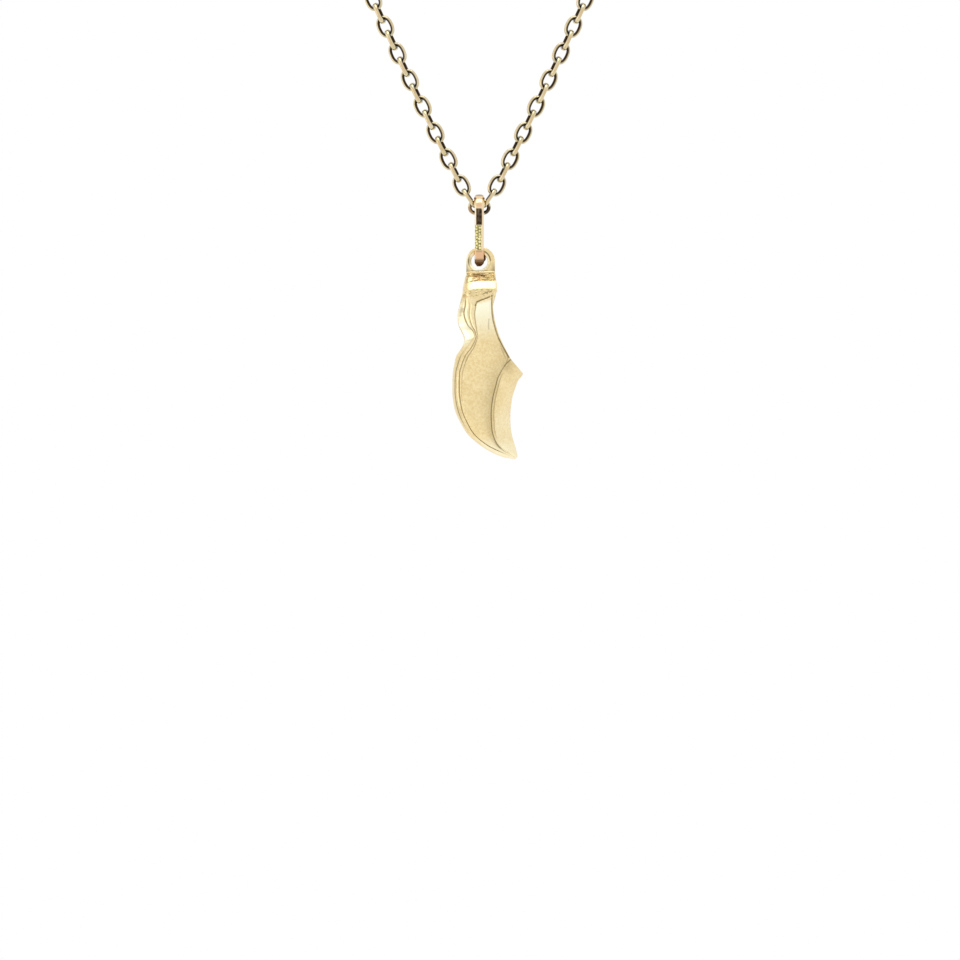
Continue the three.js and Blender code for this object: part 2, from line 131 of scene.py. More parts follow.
# Cross-sections of the clog from heel to toe, as in the solid model: sole point, crest point, half
# width, then the welt, edge and side lines above the sole, the ridge below the crest, and how far
# the walls close at the top.
SECTIONS = [
    ((-1.66, -1.44), (1.79, -1.44), 0.78, 0.2, 0.4, 0.8, 0.25, 0),
    ((-2.0, -2.19), (1.88, -2.19), 1.6, 0.3, 0.55, 0.95, 0.3, 0),
    ((-2.2, -2.94), (2.02, -2.94), 2.2, 0.35, 0.65, 1.1, 0.35, 0),
    ((-2.27, -3.69), (2.05, -3.69), 2.55, 0.4, 0.75, 1.25, 0.4, 0),
    ((-2.42, -4.69), (2.5, -4.6), 2.72, 0.5, 0.95, 1.6, 1.25, 0),
    ((-2.65, -5.62), (2.62, -5.62), 2.8, 0.72, 1.35, 2.06, 1.4, 0),
    ((-2.85, -6.75), (2.75, -6.75), 2.82, 0.78, 1.45, 2.14, 1.5, 0),
    ((-2.75, -8.0), (3.0, -8.0), 2.85, 1.12, 1.62, 2.18, 1.48, 0),
    ((-2.42, -8.75), (3.38, -8.75), 2.88, 1.44, 1.66, 1.96, 1.62, 0),
    ((-2.08, -9.5), (3.62, -9.5), 2.93, 1.3, 1.52, 1.68, 1.6, 0.05),
    ((-2.05, -10.12), (4.0, -10.12), 3.02, 0.85, 1.3, 1.5, 1.7, 0.2),
    ((-2.42, -10.94), (4.62, -10.94), 3.18, 0.65, 1.22, 1.55, 1.94, 0.45),
    ((-3.06, -11.94), (5.55, -12.3), 3.4, 0.56, 1.12, 1.5, 2.2, 0.8),
    ((-3.41, -13.6), (5.3, -14.03), 3.75, 0.39, 0.88, 1.25, 2.78, 1),
    ((-3.5, -14.5), (4.74, -14.84), 3.91, 0.35, 0.88, 1.24, 2.62, 1),
    ((-3.53, -15.5), (4.42, -15.6), 4.02, 0.34, 0.88, 1.24, 2.52, 1),
    ((-3.49, -17.0), (3.98, -17.0), 4.03, 0.34, 0.9, 1.2, 2.44, 1),
    ((-3.16, -18.75), (3.76, -18.62), 3.85, 0.36, 0.89, 1.08, 2.44, 1),
    ((-2.53, -20.16), (3.73, -19.88), 3.5, 0.3, 0.85, 0.95, 2.4, 1),
    ((-1.5, -21.75), (3.81, -21.12), 2.92, 0.26, 0.76, 0.84, 2.36, 1),
    ((0.08, -23.08), (4.05, -22.25), 2.12, 0.24, 0.72, 0.8, 2.15, 1),
    ((1.54, -23.94), (4.3, -23.0), 1.4, 0.26, 0.76, 0.86, 1.68, 1),
    ((2.84, -24.46), (4.49, -23.69), 0.75, 0.22, 0.62, 0.7, 0.92, 1),
    ((3.95, -24.68), (4.61, -24.26), 0.22, 0.1, 0.24, 0.27, 0.34, 1),
]
RIM = [
    (2.0, -3.75), (1.8, -4.5), (1.54, -5.6), (1.63, -6.6), (1.89, -8.0), (2.37, -9.5),
    (3.05, -10.94), (3.77, -12.31),
]
INSTEP_PEAK = (5.3, -14.03)
CAVITY_FROM = 3.55
CAVITY_TO = 18.6

# Half width of the heel at each height below the eye's centre: a steep shoulder under the eye, the
# tilted band below it, and the upright collar and panel
HEEL_WIDTHS = [
    (-1.44, 0.7), (-2.48, 1.84), (-2.58, 1.91), (-3.48, 2.43), (-3.6, 2.47), (-4.7, 2.7), (-5.62, 2.8),
]

# How strong each carved line is on its way down the clog: (height, strength) pairs
WELT_LINE = [
    (-4.5, 0), (-5.0, 1), (-8.8, 0.9), (-9.6, 0.3), (-11.4, 0.3), (-12.3, 1), (-19.6, 1),
    (-20.8, 0.3), (-22.0, 0),
]
EDGE_LINE = [
    (-5.1, 0), (-5.6, 0.7), (-9.2, 0.9), (-12.0, 0.9), (-17.0, 1), (-19.2, 1), (-20.4, 1.25),
    (-23.6, 1.25), (-24.5, 0),
]
SIDE_LINE = [(-5.2, 0), (-5.6, 1), (-12.6, 0.8), (-15.0, 0.45), (-16.8, 0.5), (-18.2, 0)]
RIDGE_LINE = [(-9.8, 0), (-10.8, 0.5), (-12.8, 0.6), (-13.4, 0.8), (-15.0, 1), (-23.2, 1), (-24.0, 0)]
LIP_LINE = [(-13.6, 0), (-14.8, 1), (-21.4, 0.8), (-22.6, 0)]
# How much painted shade darkens the strips along the edge of the sole towards the toe, in the same pairs
LOW_SHADE = [(-11.0, 0), (-13.0, 1), (-20.5, 1), (-22.0, 0)]

# Lines graved on the heel, across and down from the eye's centre
PANEL_TOP = [(1.42, -4.42), (0.79, -4.71), (-0.11, -5.03), (-0.46, -5.19), (-0.61, -5.6)]
COLLAR_NOTCHES = [(0.3, -4.2), (0.72, -4.0), (1.1, -3.95), (1.36, -3.86)]
RIM_LINE = [
    (1.42, -4.42), (1.38, -5.4), (1.43, -6.6), (1.56, -7.5), (1.88, -8.72), (2.22, -9.68),
]
RIM_LOW = [(2.22, -9.68), (2.68, -10.58), (3.08, -11.3), (3.52, -12.1)]
RIM_INSIDE = [(2.55, -10.9), (2.95, -11.8), (3.35, -12.7)]
PANEL_STROKE = [(1.04, -7.32), (1.0, -8.0), (1.02, -8.6)]
SOLE_SCRATCH = [(-2.42, -4.7), (-2.5, -6.9)]
UNDER_SOLDER = [(0.31, -1.78), (1.56, -1.76)]
INSTEP_STROKE = [(2.95, -13.2), (3.3, -12.75), (3.75, -12.35)]
# The line between sole and side wall, seen from the side: down from the eye's centre, and across
WALL_LINE_DOWN = [
    4.6, 5.6, 6.4, 7.0, 8.0, 9.5, 10.6, 12.0, 13.3, 15.0, 17.0, 19.5, 21.3, 22.4, 23.7,
]
WALL_LINE_ACROSS = [
    -0.5, -0.61, -0.75, -0.77, -0.6, -0.25, -0.75, -1.6, -2.05, -2.27, -2.25, -1.8, -0.9, 0.4, 2.5,
]

centre_low, centre_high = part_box("centre_link")
CENTRE_Z = (centre_low[2] + centre_high[2]) / 2
EYE_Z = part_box("eye")[1][2] - EYE_RADIUS * MM
BAIL_TOP_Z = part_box("bail")[1][2] - BAIL_STRIP * MM


def srgb(code, alpha=1.0):
    """A linear colour from an sRGB hex value."""
    values = [int(code[i:i + 2], 16) / 255 for i in (1, 3, 5)]
    linear = [v / 12.92 if v <= 0.04045 else ((v + 0.055) / 1.055) ** 2.4 for v in values]
    return (*linear, alpha)


def add_node(tree, kind, inputs=None, **settings):
    """Adds a node, sets its settings, and fills or links its inputs."""
    node = tree.nodes.new(kind)
    for name, value in settings.items():
        setattr(node, name, value)
    for name, value in (inputs or {}).items():
        socket = node.inputs[name]
        if isinstance(value, bpy.types.NodeSocket):
            tree.links.new(value, socket)
        else:
            socket.default_value = value
    return node


def new_material(name):
    material = bpy.data.materials.new(name)
    material.use_nodes = True
    material.node_tree.nodes.clear()
    return material, material.node_tree


# Camera

def set_camera():
    data = bpy.data.cameras.new("camera")
    data.lens = FOCAL_MM
    data.sensor_width = SENSOR_MM
    data.clip_start = 0.01
    camera = bpy.data.objects.new("camera", data)
    bpy.context.collection.objects.link(camera)
    frame_width = FRAME_PIXELS / PIXELS_PER_MM * MM
    distance = frame_width * FOCAL_MM / SENSOR_MM
    aside = (FRAME_PIXELS / 2 - CENTRE_LINK_COLUMN) / PIXELS_PER_MM * MM
    height = CENTRE_Z - (FRAME_PIXELS / 2 - CENTRE_LINK_ROW) / PIXELS_PER_MM * MM
    camera.location = (aside, -distance, height)
    camera.rotation_euler = (math.pi / 2, 0, 0)
    bpy.context.scene.camera = camera


# Selecting and finishing

def only(obj):
    """Makes an object the only one selected, and active."""
    bpy.ops.object.select_all(action="DESELECT")
    obj.select_set(True)
    bpy.context.view_layer.objects.active = obj


def select_verts(obj, test):
    """In edit mode, selects the vertices whose place passes the test."""
    cage = bmesh.from_edit_mesh(obj.data)
    for face in cage.faces:
        face.select = False
    for edge in cage.edges:
        edge.select = False
    for vert in cage.verts:
        vert.select = test(vert.co)
    cage.select_flush(True)
    bmesh.update_edit_mesh(obj.data)


def apply_modifier(obj, kind, **settings):
    only(obj)
    modifier = obj.modifiers.new(kind.lower(), kind)
    for name, value in settings.items():
        setattr(modifier, name, value)
    bpy.ops.object.modifier_apply(modifier=modifier.name)


def place(obj, matrix):
    """Turns and moves a piece's mesh, and leaves its object at the origin."""
    only(obj)
    obj.matrix_world = matrix
    bpy.ops.object.transform_apply(location=True, rotation=True, scale=True)


def finish_piece(obj, name, body, nodes, material, angle=40):
    obj.name = name
    obj.data.name = name
    only(obj)
    bpy.ops.object.shade_smooth_by_angle(angle=math.radians(angle))
    obj.data.materials.clear()
    obj.data.materials.append(material)
    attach(obj, body)
    if nodes:
        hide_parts(*nodes)


def mark(obj, name, values):
    """Stores a number from 0 to 1 at each vertex, for a material to read."""
    attribute = obj.data.attributes.get(name) or obj.data.attributes.new(name, "FLOAT", "POINT")
    attribute.data.foreach_set("value", np.clip(np.asarray(values, dtype=np.float32), 0, 1))


def hollow_of(obj):
    values = np.empty(len(obj.data.vertices), dtype=np.float32)
    obj.data.attributes["hollow"].data.foreach_get("value", values)
    return values


def corners_of(obj):
    """The places of all vertices, in millimetres."""
    flat = np.empty(len(obj.data.vertices) * 3)
    obj.data.vertices.foreach_get("co", flat)
    return flat.reshape(-1, 3) / MM


def normals_of(obj):
    flat = np.empty(len(obj.data.vertices) * 3)
    obj.data.vertices.foreach_get("normal", flat)
    return flat.reshape(-1, 3)


def move_corners(obj, corners):
    obj.data.vertices.foreach_set("co", (corners * MM).ravel())
    obj.data.update()


def mix(a, b, share):
    return a + (b - a) * share


def smoothstep(low, high, value):
    share = np.clip((value - low) / (high - low), 0, 1)
    return share * share * (3 - 2 * share)


def smooth_between(a, b, c, d, share):
    """A place between b and c on a smooth curve that also passes a before them and d after."""
    bend = 2 * a - 5 * b + 4 * c - d + share * (3 * (b - c) + d - a)
    return b + 0.5 * share * (c - a + share * bend)


def grain(corners, size, seed=0.0):
    """Smooth noise from -1 to 1 over places in millimetres, with lumps of about the given size."""
    return np.array([noise.noise(Vector(place_mm) / size + Vector((seed, 0, 0))) for place_mm in corners])


# Materials

def worn_gold_with_painted_light(name, bright, deep, hollow, stain, painted_highlight, roughness, fleck_mm, fleck_share):
    """A gold alloy, polished and then worn. The tone wanders softly over millimetres and small flecks
    are where the polish is scuffed. The attribute for shade and tarnish darkens it with tarnish in
    grooves and with painted shade and painted dark reflections, the stain attribute makes it redder,
    as from solder or a copper-rich alloy, and the attribute for painted highlights makes it paler
    where a highlight is painted in."""
    material, tree = new_material(name)
    place_m = add_node(tree, "ShaderNodeTexCoord").outputs["Object"]
    in_mm = add_node(tree, "ShaderNodeMapping", {"Vector": place_m, "Scale": (1000, 1000, 1000)})
    wander = add_node(tree, "ShaderNodeTexNoise", {
        "Vector": in_mm.outputs["Vector"], "Scale": 0.45, "Detail": 2.0, "Roughness": 0.5})
    flecks = add_node(tree, "ShaderNodeTexNoise", {
        "Vector": in_mm.outputs["Vector"], "Scale": 1 / fleck_mm, "Detail": 2.0, "Roughness": 0.6})
    soft = add_node(tree, "ShaderNodeMapRange", {
        "Value": wander.outputs["Fac"], "From Min": 0.3, "From Max": 0.7, "To Min": 0.15, "To Max": 0.75})
    sharp = add_node(tree, "ShaderNodeMapRange", {
        "Value": flecks.outputs["Fac"], "From Min": 0.35, "From Max": 0.65,
        "To Min": -fleck_share, "To Max": fleck_share})
    tone = add_node(tree, "ShaderNodeMath", {
        0: soft.outputs["Result"], 1: sharp.outputs["Result"]}, operation="ADD", use_clamp=True)
    gold = add_node(tree, "ShaderNodeMix", {
        "Factor": tone.outputs[0], 6: srgb(deep), 7: srgb(bright)}, data_type="RGBA")
    red = add_node(tree, "ShaderNodeAttribute", attribute_name="stain")
    reddened = add_node(tree, "ShaderNodeMix", {
        "Factor": red.outputs["Fac"], 6: gold.outputs[2], 7: srgb(stain)}, data_type="RGBA")
    highlight_node = add_node(tree, "ShaderNodeAttribute", attribute_name="painted_highlight")
    highlighted = add_node(tree, "ShaderNodeMix", {
        "Factor": highlight_node.outputs["Fac"], 6: reddened.outputs[2], 7: srgb(painted_highlight)}, data_type="RGBA")
    shade_and_tarnish_node = add_node(tree, "ShaderNodeAttribute", attribute_name="hollow")
    colour = add_node(tree, "ShaderNodeMix", {
        "Factor": shade_and_tarnish_node.outputs["Fac"], 6: highlighted.outputs[2], 7: srgb(hollow)}, data_type="RGBA")
    rough = add_node(tree, "ShaderNodeMapRange", {
        "Value": flecks.outputs["Fac"], "From Min": 0.3, "From Max": 0.7,
        "To Min": roughness * 0.8, "To Max": roughness * 1.25})
    bump = add_node(tree, "ShaderNodeBump", {
        "Height": flecks.outputs["Fac"], "Strength": 0.25, "Distance": 0.00003})
    metal = add_node(tree, "ShaderNodeBsdfPrincipled", {
        "Base Color": colour.outputs[2], "Metallic": 1.0, "Roughness": rough.outputs["Result"],
        "Normal": bump.outputs["Normal"]})
    add_node(tree, "ShaderNodeOutputMaterial", {"Surface": metal.outputs["BSDF"]})
    return material


# Chain

def signed_power(value, exponent):
    return math.copysign(abs(value) ** exponent, value)


def model_link():
    """One link of round wire: a ring drawn out to a squarish oval, its wire swelled at both ends."""
    bpy.ops.object.select_all(action="DESELECT")
    bpy.ops.mesh.primitive_torus_add(
        major_segments=80, minor_segments=24, major_radius=1, minor_radius=0.3,
        rotation=(math.pi / 2, 0, 0))
    link = bpy.context.object
    bpy.ops.object.transform_apply(rotation=True)
    across = (LINK_WIDTH - WIRE) / 2
    up = (LINK_LENGTH - WIRE) / 2
    hollow, red = [], []
    for vertex in link.data.vertices:
        turn = math.atan2(vertex.co.z, vertex.co.x)
        angle = math.atan2(vertex.co.y, math.hypot(vertex.co.x, vertex.co.z) - 1)
        x = signed_power(math.cos(turn), 2 / LINK_ROUNDNESS)
        z = signed_power(math.sin(turn), 2 / LINK_ROUNDNESS)
        outward = Vector((
            signed_power(x, LINK_ROUNDNESS - 1) / across, 0,
            signed_power(z, LINK_ROUNDNESS - 1) / up)).normalized()
        swell = float(smoothstep(0.3, 0.95, abs(z)))
        depth = mix(WIRE_SIDE_DEPTH, WIRE_END_DEPTH, swell)
        out = signed_power(math.cos(angle), 2 / WIRE_ROUNDNESS) * WIRE / 2
        aside = signed_power(math.sin(angle), 2 / WIRE_ROUNDNESS) * depth / 2
        centre = Vector((across * x, 0, up * z))
        vertex.co = (centre + outward * out + Vector((0, aside, 0))) * MM
        # painted shade on the wire's inner side, which faces the hole of the link, and a little all round
        hollow.append(max(0.06, float(smoothstep(0.45, -0.1, math.cos(angle)))))
        red.append(0.34 * float(smoothstep(0.4, 0.85, math.cos(angle))) * (1 - swell))
    link.data.update()
    only(link)
    bpy.ops.object.mode_set(mode="EDIT")
    bpy.ops.mesh.select_all(action="SELECT")
    bpy.ops.mesh.normals_make_consistent(inside=False)
    bpy.ops.object.mode_set(mode="OBJECT")
    corners = corners_of(link)
    from_end = LINK_LENGTH / 2 - np.abs(corners[:, 2])
    # painted shade near the ends, where the next link's wire passes, and a painted dark spot inside each
    # end
    bend = smoothstep(0.55, 0.3, from_end) * smoothstep(0.1, 0.2, np.abs(corners[:, 1])) * 0.3
    spot_shade = np.exp(-((from_end - 0.46) / 0.1) ** 2 - (corners[:, 1] / 0.09) ** 2) * 0.35
    mark(link, "hollow", np.maximum.reduce([hollow, bend, spot_shade]))
    mark(link, "stain", red)
    return link


def make_chain(material):
    model = model_link()
    wanted = [("centre_link", 90.0, 0.0)]
    for name, side in (("left", -1), ("right", 1)):
        for number in range(1, LINKS_PER_STRAND + 1):
            lean = LEAN_AT_CENTRE if number == 1 else LEAN_OF_STRAND + LEAN_CHANGE * (number - 2)
            twist = min(TWIST_OF_STRAND, TWIST_OF_FIRST + TWIST_STEP * (number - 1))
            wanted.append((f"{name}_link_{number:02d}", side * lean, side * twist + 90 * (number % 2)))
    for node, lean, turn in wanted:
        only(model)
        bpy.ops.object.duplicate()
        link = bpy.context.object
        low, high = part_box(node)
        middle = [(a + b) / 2 for a, b in zip(low, high)]
        place(link, Matrix.Translation(middle) @ Matrix.Rotation(math.radians(lean), 4, "Y")
              @ Matrix.Rotation(math.radians(turn), 4, "Z"))
        if node.endswith("_link_01"):
            shade_first_link(link, 1 if lean < 0 else -1)
        if node == "centre_link":
            shade_centre_link(link)
        body = "neck_ends" if node.endswith(f"_{LINKS_PER_STRAND}") else node
        finish_piece(link, f"{node}_wire", body, [node], material)
    bpy.data.objects.remove(model)


def shade_first_link(link, inward):
    """Painted shade on the sides of the first links that face into the chain's V."""
    normals = normals_of(link)
    lean = math.radians(LEAN_AT_CENTRE)
    to_inside = normals @ np.array([inward * math.cos(lean), 0, math.sin(lean)])
    mark(link, "hollow", np.maximum(hollow_of(link), 0.9 * smoothstep(0.45, 0.75, to_inside)))


def shade_centre_link(link):
    """The painted shade of the centre link's inner walls is weaker at its left, a dark patch is painted at
    its lower right, and its lower left is darker and redder.
    """
    corners = corners_of(link)
    across, up = corners[:, 0], corners[:, 2] - CENTRE_Z / MM
    values = hollow_of(link) * (0.55 + 0.45 * smoothstep(-0.3, 0.3, across))
    patch = smoothstep(0.55, 0.8, across) * smoothstep(0.25, -0.05, up)
    patch *= smoothstep(0.3, -0.1, corners[:, 1])
    redder = smoothstep(-0.5, -0.8, across) * smoothstep(0.2, -0.1, up)
    mark(link, "hollow", np.maximum.reduce([values, 0.95 * patch, 0.42 * redder]))
    mark(link, "stain", 0.7 * redder)


# Bail

def make_bail(material):
    """A strip with chamfered edges, spun round the top, run down the back, spun round the foot and
    run up the front to meet itself."""
    apart = BAIL_INSIDE_LENGTH - BAIL_TOP_RADIUS - BAIL_FOOT_RADIUS
    taper = math.asin((BAIL_TOP_RADIUS - BAIL_FOOT_RADIUS) / apart)
    top_centre = Vector((0, 0, -BAIL_TOP_RADIUS)) * MM
    foot_centre = Vector((0, 0, -BAIL_TOP_RADIUS - apart)) * MM
    bpy.ops.object.select_all(action="DESELECT")
    bpy.ops.mesh.primitive_plane_add(size=1)
    bail = bpy.context.object
    bpy.ops.object.mode_set(mode="EDIT")
    bpy.ops.transform.resize(value=(BAIL_WAIST_WIDTH * MM, BAIL_STRIP * MM, 1))
    select_verts(bail, lambda co: co.y < 0)
    bpy.ops.mesh.bevel(affect="VERTICES", offset=BAIL_CHAMFER * MM, segments=6)
    select_verts(bail, lambda co: co.y > 0.49 * BAIL_STRIP * MM)
    bpy.ops.mesh.bevel(affect="VERTICES", offset=BAIL_INNER_EDGE * MM, segments=3)
    bpy.ops.mesh.select_all(action="SELECT")
    bpy.ops.mesh.delete(type="ONLY_FACE")
    select_verts(bail, lambda co: co.y < -0.499 * BAIL_STRIP * MM)
    bpy.ops.mesh.subdivide(number_cuts=13)
    bpy.ops.mesh.select_all(action="SELECT")
    # to the front, where the straight side meets the round of the top
    out = Vector((0, -math.cos(taper), -math.sin(taper)))
    back = Vector((0, math.cos(taper), -math.sin(taper)))
    radius = (BAIL_TOP_RADIUS + BAIL_STRIP / 2) * MM
    foot_radius = (BAIL_FOOT_RADIUS + BAIL_STRIP / 2) * MM
    bpy.ops.transform.rotate(value=-taper, orient_axis="X", center_override=(0, 0, 0))
    bpy.ops.transform.translate(value=top_centre + out * radius)
    bpy.ops.mesh.spin(
        steps=56, angle=math.pi + 2 * taper, center=top_centre, axis=(1, 0, 0))
    down = (foot_centre + back * foot_radius) - (top_centre + back * radius)
    runs = 20
    for _ in range(runs):
        bpy.ops.mesh.extrude_region_move(TRANSFORM_OT_translate={"value": down / runs})
    bpy.ops.mesh.spin(
        steps=36, angle=math.pi - 2 * taper, center=foot_centre, axis=(1, 0, 0))
    up = (top_centre + out * radius) - (foot_centre + out * foot_radius)
    runs = 110
    for _ in range(runs):
        bpy.ops.mesh.extrude_region_move(TRANSFORM_OT_translate={"value": up / runs})
    bpy.ops.mesh.select_all(action="SELECT")
    bpy.ops.mesh.remove_doubles(threshold=2e-6)
    bpy.ops.mesh.normals_make_consistent(inside=False)
    bpy.ops.object.mode_set(mode="OBJECT")
    place(bail, Matrix.Translation((0, 0, BAIL_TOP_Z)))
    widen_bail(bail, top_centre.z + BAIL_TOP_Z, foot_centre.z + BAIL_TOP_Z)
    strike_and_shade_bail(bail, out)
    finish_piece(bail, "bail_strip", "bail", ["bail"], material, angle=30)


def widen_bail(bail, top, foot):
    """The strip is widest over the top and narrowest round the foot, and its flat face lies a little
    to one side of its middle."""
    corners = corners_of(bail)
    rise = smoothstep(top / MM - 0.2, top / MM + 1.3, corners[:, 2])
    fall = smoothstep(-foot / MM - 0.4, -foot / MM + 0.6, -corners[:, 2])
    width = BAIL_WAIST_WIDTH + (BAIL_TOP_WIDTH - BAIL_WAIST_WIDTH) * rise
    width += (BAIL_FOOT_SHOWN - BAIL_WAIST_WIDTH) * fall
    # narrower at the back, clear of the first links, and rounded off under the foot
    width -= 0.09 * rise * smoothstep(0.1, 0.6, corners[:, 1])
    width *= 1 - 0.42 * smoothstep(34.5, 35.05, -corners[:, 2])
    corners[:, 0] *= width / BAIL_WAIST_WIDTH
    from_middle = corners[:, 0] / (width / 2)
    corners[:, 0] -= BAIL_FACET_ASIDE * (1 - rise) * np.clip(1 - from_middle ** 2, 0, 1)
    # the outside is crowned over the top
    from_centre = np.hypot(corners[:, 1], corners[:, 2] - top / MM)
    crowned = smoothstep(BAIL_TOP_RADIUS + 0.15, BAIL_TOP_RADIUS + 0.3, from_centre) * rise
    drop = 0.2 * crowned * np.clip(np.abs(from_middle), 0, 1) ** 2.5
    corners[:, 1] -= drop * corners[:, 1] / from_centre
    corners[:, 2] -= drop * (corners[:, 2] - top / MM) / from_centre
    # the back leg stands a little to the right, where it shows through the eye
    aside = smoothstep(34.5, 34.0, -corners[:, 2]) * smoothstep(32.7, 33.4, -corners[:, 2])
    corners[:, 0] += BACK_LEG_ASIDE * aside * smoothstep(0.35, 0.65, corners[:, 1])
    move_corners(bail, corners)


def strike_and_shade_bail(bail, out):
    """Two rows of small beads are struck in the front of the strip, with darker gaps between them.
    Painted shade darkens the inside of the loop, the underside of the foot and the back leg where it
    shows through the eye, painted dark reflections lie on the flat below the top and on the top
    itself, and a painted highlight lies over the beads. A darker band crosses the front below the
    beads. The foot, the back leg, the top and a band below the top are redder."""
    corners = corners_of(bail)
    normals = normals_of(bail)
    facing = normals @ np.array(out)
    front = (facing > 0.93) & (corners[:, 1] < 0)
    across = corners[:, 0] + BEADS_LEFT
    heights = corners[:, 2]
    field = smoothstep(BEADS_TO - 0.08, BEADS_TO + 0.05, heights)
    field *= 1 - smoothstep(BEADS_FROM - 0.05, BEADS_FROM + 0.08, heights)
    field *= (facing > 0.5) & (corners[:, 1] < 0) & (np.abs(across) < 0.42)
    nearest = np.full(len(corners), 9.0)
    rows = int((BEADS_FROM - BEADS_TO) / BEAD_PITCH * 2)
    for row in range(rows + 1):
        stray = noise.noise(Vector((row * 1.7, 0.3, 5.1))) * BEAD_STRAY
        other = noise.noise(Vector((row * 2.3, 7.7, 1.4))) * BEAD_STRAY
        bead_across = (BEAD_ASIDE if row % 2 else -BEAD_ASIDE) + stray
        bead_height = BEADS_FROM - (row + 0.4) * BEAD_PITCH / 2 + other
        size = 1 + other * 3
        nearest = np.minimum(nearest, np.hypot(across - bead_across, heights - bead_height) / size)
    gap = smoothstep(0.08, 0.17, nearest) * field
    gap *= 0.75 + 0.25 * smoothstep(-0.3, 0.3, grain(corners, 0.25, 3.0))
    corners -= normals * (gap * BEAD_DEPTH)[:, None]
    move_corners(bail, corners)
    # a painted dark reflection on the flat below the top, with a faint painted shine in it
    panel = smoothstep(PANEL_TO - 0.06, PANEL_TO + 0.02, heights)
    panel *= smoothstep(PANEL_FROM + 0.1, PANEL_FROM, heights)
    flat = front & (facing > 0.97)
    panel *= flat * (0.95 + 0.08 * grain(corners, 0.25, 8.0))
    shine = np.exp(-((corners[:, 0] + 0.1) / 0.12) ** 2 - ((heights - BAIL_SHINE_AT) / 0.3) ** 2)
    panel *= 1 - 0.16 * shine
    # painted shade inside the loop, under the foot and on the back leg seen through the eye, and a painted
    # dark reflection over the top
    inside = smoothstep(0.1, 0.7, -normals[:, 1] * np.sign(corners[:, 1]))
    inside *= np.abs(normals[:, 0]) < 0.75
    foot = smoothstep(33.9, 34.9, -heights)
    under = smoothstep(33.95, 34.35, -heights)
    cap = smoothstep(BAIL_TOP_Z / MM + 0.16, BAIL_TOP_Z / MM + 0.3, heights)
    peach = np.exp(-((heights - BAIL_PEACH_AT) / 0.28) ** 4)
    peach = peach * (np.abs(normals[:, 0]) < 0.2) * (corners[:, 1] < 0)
    dark_band = np.exp(-((heights - BAIL_DARK_BAND_AT) / 0.12) ** 2) * front
    behind = (corners[:, 1] > 0.3) & (corners[:, 1] < 1.0) & (normals[:, 1] < 0.3)
    behind = behind * smoothstep(32.9, 33.3, -heights)
    mark(bail, "hollow", np.maximum.reduce([
        gap * 0.8, panel, inside * 0.55, under * 0.8, cap * 0.46, dark_band * 0.35, behind * 0.45]))
    mark(bail, "stain", np.maximum.reduce([
        foot, smoothstep(32.8, 33.2, -heights) * 0.55, cap * 0.6, peach * 0.42, behind]))
    # a painted highlight over the bead field
    mark(bail, "painted_highlight", field)


# Eye

